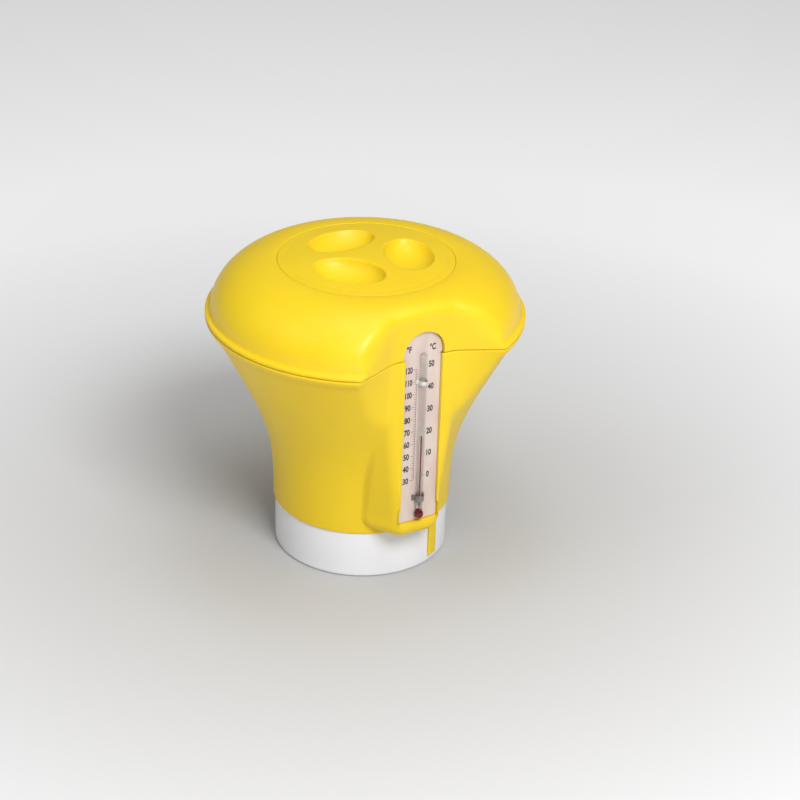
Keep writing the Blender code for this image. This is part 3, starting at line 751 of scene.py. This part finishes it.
def buildLid(form):
    # closed turned shell: crown, edge, seal groove, plug with its lugs and the hollow under the crown
    angle = fullTurn(480)
    radii = np.concatenate([[0.0, 0.4], np.linspace(1.0, 9.0, 14), np.linspace(9.5, 40.0, 78),
                            np.linspace(40.6, 48.4, 20)])
    r, a = np.meshgrid(radii, angle, indexing="ij")
    top = lidTop(r, a, form)
    rows = [np.stack([r * np.sin(a), -r * np.cos(a), top], -1)]
    lugs = form["plugRadius"] + (form["lugRadius"] - form["plugRadius"]) * arcMask(
        angle, form["lugAngle"], form["lugWidth"])

    def ring(radius, height):
        return ringAt(angle, radius, height)

    low, seal = lidLow[2], form["sealRadius"]
    reach = lidRadius + 0.2
    edge = [(49.4, 182.06), (50.1, 182.0), (50.6, 181.96), (50.85, 181.88), (reach - 0.04, 181.7),
            (reach, 181.4), (reach, 179.1), (50.7, 178.8), (50.4, 178.62), (50.0, 178.6),
            (seal + 1.35, 178.6), (seal + 1.35, 180.6), (seal - 1.35, 180.6), (seal - 1.35, 178.6),
            (form["plugRadius"], 178.6), (form["plugRadius"], 168.7)]
    rows += [ring(*e) for e in edge]
    rows += [ring(lugs, 168.6), ring(lugs, 166.4), ring(form["plugRadius"], 166.3),
             ring(form["plugRadius"] - 0.3, form["plugBottomZ"]),
             ring(form["plugHollow"] + 0.3, form["plugBottomZ"]), ring(form["plugHollow"], low + 0.3)]
    radiiIn = np.concatenate([[form["plugHollow"]], np.linspace(36.0, 1.5, 60), [0.5, 0.0]])
    for radius in radiiIn:
        full = np.full(angle.shape, radius)
        rows.append(ring(radius, np.minimum(181.4, lidTop(full, angle, form) - 2.0)))
    points = np.concatenate(rows)
    quads = gridQuads(len(points), points.shape[1])
    return newPiece("fillerLid", points, quads, lidYellow, "lid_body", ("filler_lid",), 40.0)


buildLid(lidForm)


def buildSeal(form):
    # a plain round ring under the lid's edge
    section = 0.5 * (sealHigh[2] - sealLow[2])
    middle = np.array([form["sealRadius"], 0.5 * (sealHigh[2] + sealLow[2])])
    profile = arcPoints(middle, section, 0.0, 345.0, 24)
    points = turnedPoints(profile, fullTurn(240))
    return newPiece("lidSeal", points, gridQuads(24, 240, closeRows=True), sealRubber, "seal_ring",
                    ("lid_seal",), 60.0)


buildSeal(lidForm)
print("lid built")


# The white cup and the tablet basket

slotForm = {"inner": 14.0, "outer": 37.0, "width": 30.0}  # two radii in mm, width in degrees


def slottedTurn(points, angle, topEdge, bottomEdge, form):
    # a closed turned grid, less six windows between two of its strips;
    # topEdge and bottomEdge are the rows of the windows' inner and outer rims
    rows, cols = points.shape[:2]
    away = (np.degrees(angle + 0.5 * (angle[1] - angle[0]))) % 60.0 - 30.0
    window = np.abs(away) < 0.5 * form["width"]
    quads = gridQuads(rows, cols, closeRows=True).reshape(rows, cols, 4)
    keep = np.ones((rows, cols), bool)
    keep[min(topEdge), window] = False
    keep[min(bottomEdge), window] = False
    c = np.arange(cols)
    c2 = (c + 1) % cols
    (ti, to), (bi, bo) = topEdge, bottomEdge
    walls = []
    for upper, lower in ((ti, bi), (to, bo)):
        walls.append(np.stack([upper * cols + c, upper * cols + c2, lower * cols + c2, lower * cols + c],
                              -1)[window])
    ends = window != np.roll(window, 1)
    walls.append(np.stack([ti * cols + c, to * cols + c, bo * cols + c, bi * cols + c], -1)[ends])
    return points, np.concatenate([quads[keep]] + walls)


def buildCup(form):
    # turned cup: pivot boss, slotted floor, a low ring, the wall, and the neck inside the hull's skirt
    angle = fullTurn(360)
    inner, outer = form["inner"], form["outer"]
    wallIn = cupRadius - 2.2
    profile = chain(
        [(0.0, 8.0), (5.6, 8.0), (6.0, 7.6), (6.0, 2.9), (6.5, 2.4)],
        [(inner, 2.4), (outer, 2.4)],
        [(42.6, 2.4), (43.0, 2.8), (43.0, 9.6), (43.3, 10.0), (44.3, 10.0), (44.6, 9.7), (44.6, 2.8),
         (45.0, 2.4), (wallIn - 1.2, 2.4), (wallIn - 0.35, 2.75), (wallIn, 3.6), (wallIn, 26.6),
         (wallIn - 0.35, 27.6), (47.9, 28.4), (47.8, 29.4), (47.8, 34.6), (48.2, cupHigh[2]),
         (49.6, cupHigh[2]), (50.0, 34.6), (50.0, 30.1), (50.2, 29.75), (50.8, 29.7), (51.25, 29.55),
         (cupRadius, 29.1)],
        np.stack([np.full(8, cupRadius), np.linspace(28.0, 2.6, 8)], -1),
        arcPoints((cupRadius - 2.0, 2.0), 2.0, 0.0, -90.0, 9),
        [(46.0, 0.0), (45.4, 0.35), (44.0, 0.35), (43.4, 0.0), (outer, 0.0), (inner, 0.0), (3.0, 0.0),
         (0.0, 0.0)])
    index = {(round(float(p[0]), 3), round(float(p[1]), 3)): i for i, p in enumerate(profile)}
    top = (index[(inner, 2.4)], index[(outer, 2.4)])
    bottom = (index[(inner, 0.0)], index[(outer, 0.0)])
    points, quads = slottedTurn(turnedPoints(profile, angle), angle, top, bottom, form)
    return newPiece("flowCup", points, quads, cupWhite, "cup_body", ("flow_cup",), 40.0)


def buildBasket(form):
    # turned tube with a slotted floor, a flange on top and a lip with three notches for the lid's lugs
    angle = fullTurn(360)
    inner, outer = form["inner"], form["outer"]
    low, high = basketLow[2], basketHigh[2]
    notch = arcMask(angle, 0.0, 32.0)
    lip = 39.2 + 1.3 * notch
    table = [(6.4, 7.6), (10.6, 7.6), (11.0, 7.2), (11.0, 5.6), (11.4, 5.2), (inner, 5.2), (outer, 5.2),
             (39.6, 5.2), (40.2, 5.5), (40.5, 6.2), (40.5, 90.0), (40.5, 169.1)]
    after = [(40.5, 172.1), (40.5, high - 0.6), (40.9, high), (49.0, high), (49.2, high - 0.3),
             (49.2, high - 1.7), (48.9, high - 2.0), (42.9, high - 2.0), (42.5, high - 2.4), (42.5, 90.0),
             (42.5, 4.4), (42.0, 3.3), (40.9, low), (outer, low), (inner, low), (6.4, low)]
    rows = [ringAt(angle, r, z) for r, z in table + [(lip, 169.2), (lip, 172.0)] + after]
    top = (5, 6)
    bottom = (len(rows) - 2, len(rows) - 3)
    points, quads = slottedTurn(np.concatenate(rows), angle, top, bottom, form)
    return newPiece("tabletBasket", points, quads, basketWhite, "float_body",
                    ("tablet_basket",), 40.0)


buildCup(slotForm)
buildBasket(slotForm)
print("cup and basket built")


# The thermometer

scaleForm = {
    "baseZ": 70.8,
    "perDegree": 0.784,
    "leftAt": -8.4,
    "rightAt": 6.1,
    "ruleAt": -3.1,
    "textHeight": 3.6,
    "inkRaise": 0.05,
    "cornerRadius": 2.2,
    "bulbZ": 48.8,
    "bulbHole": 2.05,
}


def cardOutline(half, low, high, corner, count=40):
    # half-round top, straight sides and small rounded corners below, from the bottom middle round
    right = chain([(0.0, low)], np.stack([np.linspace(2.0, half - corner, 6), np.full(6, low)], -1),
                  arcPoints((half - corner, low + corner), corner, -84.0, 0.0, 8),
                  np.stack([np.full(30, half), np.linspace(low + corner + 2.0, high - half, 30)], -1),
                  arcPoints((0.0, high - half), half, 2.0, 90.0, count))
    left = right[-2:0:-1] * np.array([-1.0, 1.0])
    return np.concatenate([right, left])


def buildCard(form):
    # flat card between its outline and the bulb's hole, with softened front edges
    half = cardHigh[0]
    outline = cardOutline(half, cardLow[2], cardHigh[2], form["cornerRadius"])
    middle = np.array([0.0, form["bulbZ"]])
    away = outline - middle
    hole = middle + form["bulbHole"] * away / np.linalg.norm(away, axis=1)[:, None]
    inward = outline - away / np.linalg.norm(away, axis=1)[:, None] * 0.3
    rows = []
    for share in (0.0, 0.03, 0.12, 0.4, 0.75):
        flat = hole + (inward - hole) * share
        rows.append(np.stack([flat[:, 0], np.full(len(flat), -cardFront), flat[:, 1]], -1))
    for flat, depth in ((inward, cardFront), (outline, cardFront - 0.2), (outline, cardBack),
                        (hole, cardBack)):
        rows.append(np.stack([flat[:, 0], np.full(len(flat), -depth), flat[:, 1]], -1))
    points = np.stack(rows)
    quads = gridQuads(len(rows), len(outline), closeRows=True)
    return newPiece("scaleCard", points, quads, cardFace, "float_body",
                    ("thermometer_card",), 30.0)


def boxCells(low, high):
    # corner points and faces of many small upright bars, low and high corners given as (n, 3)
    pick = np.array([[0, 0, 0], [1, 0, 0], [1, 1, 0], [0, 1, 0], [0, 0, 1], [1, 0, 1], [1, 1, 1], [0, 1, 1]])
    points = low[:, None, :] + (high - low)[:, None, :] * pick[None]
    face = np.array([[0, 3, 2, 1], [4, 5, 6, 7], [0, 1, 5, 4], [1, 2, 6, 5], [2, 3, 7, 6], [3, 0, 4, 7]])
    quads = face[None] + 8 * np.arange(len(low))[:, None, None]
    return points.reshape(-1, 3), quads.reshape(-1, 4)


def inkBars(form):
    # the two rules with their graduations: left in 2-degree steps, right beside the tube
    front, lift = cardFront, form["inkRaise"]
    left = np.arange(30, 121, 2)
    zLeft = form["baseZ"] + form["perDegree"] * (left - 30.0)
    length = np.where(left % 10 == 0, 2.6, 1.3)
    rule = form["ruleAt"]
    bars = [(rule - n, z - 0.11, rule, z + 0.11) for n, z in zip(length, zLeft)]
    right = np.arange(0, 51, 2)
    zRight = form["baseZ"] + form["perDegree"] * (32.0 + 1.8 * right - 30.0)
    bars += [(2.3, z - 0.10, 2.3 + (1.7 if t % 10 == 0 else 0.9), z + 0.10) for t, z in zip(right, zRight)]
    bars.append((rule - 0.09, zLeft[0] - 0.11, rule + 0.09, zLeft[-1] + 0.11))
    bars = np.array(bars)
    low = np.stack([bars[:, 0], np.full(len(bars), -front - lift), bars[:, 1]], -1)
    high = np.stack([bars[:, 2], np.full(len(bars), -front + 0.02), bars[:, 3]], -1)
    return low, high


def addText(words, x, z, height, lift, narrow=0.70):
    # one line of lettering, centred, as a thin mesh standing on the card
    curve = bpy.data.curves.new("numberCurve", "FONT")
    curve.body = words
    curve.size = height * mm / 0.70
    curve.align_x = "CENTER"
    curve.align_y = "CENTER"
    curve.extrude = 0.5 * lift * mm
    curve.offset = 0.19 * mm
    curve.resolution_u = 4
    holder = bpy.data.objects.new("numberHolder", curve)
    bpy.context.scene.collection.objects.link(holder)
    bpy.context.view_layer.update()
    mesh = bpy.data.meshes.new_from_object(holder.evaluated_get(bpy.context.evaluated_depsgraph_get()))
    place = Matrix.Translation(Vector((x * mm, -(cardFront + 0.5 * lift - 0.01) * mm, z * mm)))
    upright = Matrix.Rotation(math.radians(90.0), 4, "X")
    mesh.transform(place @ upright @ Matrix.Diagonal((narrow, 1.0, 1.0, 1.0)))
    bpy.data.objects.remove(holder)
    bpy.data.curves.remove(curve)
    return mesh


def buildScale(form):
    # graduations, numbers and the two unit signs as one thin raised print
    low, high = inkBars(form)
    points, quads = boxCells(low, high)
    bars = bpy.data.meshes.new("scaleBars")
    bars.from_pydata((points * mm).tolist(), [], quads.tolist())
    meshes = [bars]
    for value in range(30, 121, 10):
        z = form["baseZ"] + form["perDegree"] * (value - 30.0)
        meshes.append(addText(str(value), form["leftAt"], z, form["textHeight"], form["inkRaise"],
                              0.62 if value > 99 else 0.72))
    for value in range(0, 51, 10):
        z = form["baseZ"] + form["perDegree"] * (2.0 + 1.8 * value)
        meshes.append(addText(str(value), form["rightAt"], z, form["textHeight"], form["inkRaise"]))
    meshes.append(addText("°F", -8.6, 154.2, 3.6, form["inkRaise"]))
    meshes.append(addText("°C", 6.5, 153.3, 3.6, form["inkRaise"]))
    bm = bmesh.new()
    for mesh in meshes:
        bm.from_mesh(mesh)
    bmesh.ops.remove_doubles(bm, verts=bm.verts, dist=0.00001 * mm)
    bmesh.ops.recalc_face_normals(bm, faces=bm.faces)
    joined = bpy.data.meshes.new("scalePrint")
    bm.to_mesh(joined)
    bm.free()
    for mesh in meshes:
        bpy.data.meshes.remove(mesh)
    joined.materials.clear()
    joined.materials.append(scaleInk)
    obj = bpy.data.objects.new("scalePrint", joined)
    bpy.context.scene.collection.objects.link(obj)
    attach(obj, "float_body")
    print("  scalePrint:", len(joined.polygons), "faces")


tubeForm = {"depth": 68.1, "radius": 1.8, "bore": 0.8, "bulbRadius": 2.7, "bulbZ": 48.8,
            "thread": 0.27, "threadTopZ": 99.6, "bulbFill": 2.5}


def tubeOutline(bulb, stem, topZ, form):
    # ball, short shoulder, stem and rounded tip, from the lowest point up
    z0 = form["bulbZ"]
    meet = math.degrees(math.acos(min(stem / bulb, 1.0)))
    ball = arcPoints((0.0, z0), bulb, -90.0, meet - 8.0, 20)
    tip = arcPoints((0.0, topZ - stem), stem, 0.0, 90.0, 10)
    return chain(ball, [(stem, z0 + bulb * math.sin(math.radians(meet)) + 0.9)],
                 np.stack([np.full(12, stem), np.linspace(z0 + bulb + 1.5, topZ - stem - 0.5, 12)], -1), tip)


def buildTube(form):
    # outer skin of the glass and, turned inside out, the skin of its bore
    outer = tubeOutline(form["bulbRadius"], form["radius"], glassHigh[2], form)
    inner = tubeOutline(form["bulbFill"] + 0.06, form["bore"], glassHigh[2] - 3.0, form)
    outer[:, 0] = np.maximum(outer[:, 0], 0.0)
    inner[:, 0] = np.maximum(inner[:, 0], 0.0)
    centre = (0.0, -form["depth"])
    outerPoints = turnedPoints(outer, fullTurn(40), centre).reshape(-1, 3)
    innerPoints = turnedPoints(inner, fullTurn(28), centre).reshape(-1, 3)
    outerQuads = gridQuads(len(outer), 40)
    innerQuads = gridQuads(len(inner), 28)[:, ::-1] + len(outerPoints)
    return newPiece("glassTube", np.concatenate([outerPoints, innerPoints]),
                    np.concatenate([outerQuads, innerQuads]), tubeGlass, "float_body",
                    ("thermometer_glass",), 60.0)


def buildSpirit(form):
    # the filled bulb and the fine thread above it
    outline = tubeOutline(form["bulbFill"], form["thread"], form["threadTopZ"], form)
    points = turnedPoints(outline, fullTurn(28), (0.0, -form["depth"]))
    return newPiece("redSpirit", points, gridQuads(len(outline), 28), spiritRed, "float_body",
                    ("thermometer_liquid",), 60.0)


def buildClip(name, lowZ, highZ, node, material, form):
    # a rounded strip carried over the tube: feet on the card, arch round the glass
    centre, radius, foot = form["depth"], 2.42, 4.1
    flat = cardFront + 0.3
    start = math.degrees(math.asin((flat + 0.55 - centre) / radius))
    arch = arcPoints((0.0, centre), radius, start, 180.0 - start, 24)
    path = chain([(foot, flat), (3.4, flat), (2.75, flat + 0.06), (2.5, flat + 0.2)], arch,
                 [(-2.5, flat + 0.2), (-2.75, flat + 0.06), (-3.4, flat), (-foot, flat)])
    along = np.gradient(path, axis=0)
    along /= np.linalg.norm(along, axis=1)[:, None]
    normal = np.stack([along[:, 1], -along[:, 0]], -1)
    thick, bevel = 0.26, 0.12
    section = np.array([(-thick, lowZ + bevel), (-thick + bevel, lowZ), (thick - bevel, lowZ),
                        (thick, lowZ + bevel), (thick, highZ - bevel), (thick - bevel, highZ),
                        (-thick + bevel, highZ), (-thick, highZ - bevel)])
    place = path[:, None, :] + normal[:, None, :] * section[None, :, 0:1]
    height = np.broadcast_to(section[None, :, 1], place.shape[:2])
    points = np.stack([place[..., 0], -place[..., 1], height], -1)
    ends = [np.broadcast_to(points[i].mean(0), (1, len(section), 3)) for i in (0, -1)]
    points = np.concatenate([ends[0], points, ends[1]])
    return newPiece(name, points, gridQuads(len(points), len(section)), material, "float_body",
                    (node,), 40.0)


buildCard(scaleForm)
buildScale(scaleForm)
buildTube(tubeForm)
buildSpirit(tubeForm)
for name, node, material in (("clipUpper", "tube_clip_upper", clipPale),
                             ("clipLower", "tube_clip_lower", clipDark)):
    clipLow, clipHigh = nodeBox(node)
    buildClip(name, clipLow[2], clipHigh[2], node, material, tubeForm)
print("thermometer built")


# Frame parts that keep their own shape

for node, material in (("basket_gasket", sealRubber), ("basket_oring", sealRubber),
                       ("pivot_washer", basketWhite), ("pivot_screw", screwSteel)):
    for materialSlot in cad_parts[node].material_slots:
        materialSlot.material = material


# Floor, light and camera

stageLook = {
    "floorSize": 6.0,
    # painted shade: the floor's colour is darker near the object, a painted shadow pool round it
    "paintedShadeNear": (0.54, 0.54, 0.545),
    "floorFar": (0.84, 0.84, 0.845),
    # painted light: the floor glows white further away from the object
    "paintedGlow": 0.24,
    "worldTone": (1.0, 1.0, 1.0),
    "worldPower": 0.22,
}

floorMesh = bpy.data.meshes.new("studioFloor")
edge = 0.5 * stageLook["floorSize"]
floorCorners = [(-edge, -edge, 0), (edge, -edge, 0), (edge, edge, 0), (-edge, edge, 0)]
floorMesh.from_pydata(floorCorners, [], [(0, 1, 2, 3)])
floorWithPaintedShadeAndGlow, floorNodes, floorLinks, floorShader, floorCoords = newMaterial("floorWithPaintedShadeAndGlow", roughness=0.9)
floorDistance = floorNodes.new("ShaderNodeVectorMath")
floorDistance.operation = "LENGTH"
floorLinks.new(floorCoords, floorDistance.inputs[0])
floorAway = floorDistance.outputs["Value"]
# painted shade: the floor's colour darkens towards the object, so a shadow pool is painted round it
paintedShadeReach = addRange(floorNodes, floorLinks, floorAway, 0.0, 1.0, 0.06, 0.60)
paintedShadeStops = [(0.0, stageLook["paintedShadeNear"]), (1.0, stageLook["floorFar"])]
floorLinks.new(addRamp(floorNodes, floorLinks, paintedShadeReach, paintedShadeStops), floorShader.inputs["Base Color"])
# painted light: the floor's emission rises with distance from the object, so the floor glows there
paintedGlowReach = addRange(floorNodes, floorLinks, floorAway, 0.0, stageLook["paintedGlow"], 0.10, 0.50)
floorLinks.new(paintedGlowReach, floorShader.inputs["Emission Strength"])
floorShader.inputs["Emission Color"].default_value = (1.0, 1.0, 1.0, 1.0)
floorMesh.materials.append(floorWithPaintedShadeAndGlow)
studioFloor = bpy.data.objects.new("studioFloor", floorMesh)
bpy.context.scene.collection.objects.link(studioFloor)

world = bpy.data.worlds.new("softRoom")
bpy.context.scene.world = world
world.use_nodes = True
world.node_tree.nodes["Background"].inputs["Color"].default_value = (*stageLook["worldTone"], 1.0)
world.node_tree.nodes["Background"].inputs["Strength"].default_value = stageLook["worldPower"]

viewForm = {"azimuth": -29.3, "elevation": 27.5, "distance": 1.3, "roll": 1.3, "lens": 99.3,
            "shift": (0.046, -0.0036)}
target = Vector((0.0, 0.0, 0.0925))


def viewPoint(azimuth, elevation, distance):
    # a point on a sphere round the target: azimuth 0 is in front of the thermometer
    a, e = math.radians(azimuth), math.radians(elevation)
    return target + distance * Vector((math.cos(e) * math.sin(a), -math.cos(e) * math.cos(a), math.sin(e)))


def addSoftbox(name, azimuth, elevation, distance, size, power):
    # a rectangular lamp on that sphere, facing the target
    light = bpy.data.lights.new(name, "AREA")
    light.shape = "RECTANGLE"
    light.size, light.size_y = size
    light.energy = power
    obj = bpy.data.objects.new(name, light)
    obj.location = viewPoint(azimuth, elevation, distance)
    obj.rotation_euler = (target - obj.location).to_track_quat("-Z", "Y").to_euler()
    bpy.context.scene.collection.objects.link(obj)


addSoftbox("keyBox", -6.0, 45.0, 1.7, (0.7, 0.5), 21.0)
addSoftbox("sideBox", -95.0, 50.0, 1.9, (0.8, 0.8), 3.0)
addSoftbox("topBox", 20.0, 84.0, 1.7, (1.1, 1.1), 8.5)
addSoftbox("fillBox", -36.0, 5.0, 1.8, (0.6, 0.3), 2.1)

camera = bpy.data.cameras.new("mainCamera")
camera.lens = viewForm["lens"]
camera.sensor_width = 36.0
camera.shift_x, camera.shift_y = viewForm["shift"]
camera.clip_end = 50.0
cameraObject = bpy.data.objects.new("mainCamera", camera)
cameraObject.location = viewPoint(viewForm["azimuth"], viewForm["elevation"], viewForm["distance"])
look = (target - cameraObject.location).to_track_quat("-Z", "Y").to_matrix().to_4x4()
look = look @ Matrix.Rotation(math.radians(viewForm["roll"]), 4, "Z")
cameraObject.rotation_euler = look.to_euler()
bpy.context.scene.collection.objects.link(cameraObject)
bpy.context.scene.camera = cameraObject
bpy.context.scene.view_settings.view_transform = "Standard"
print("stage set")
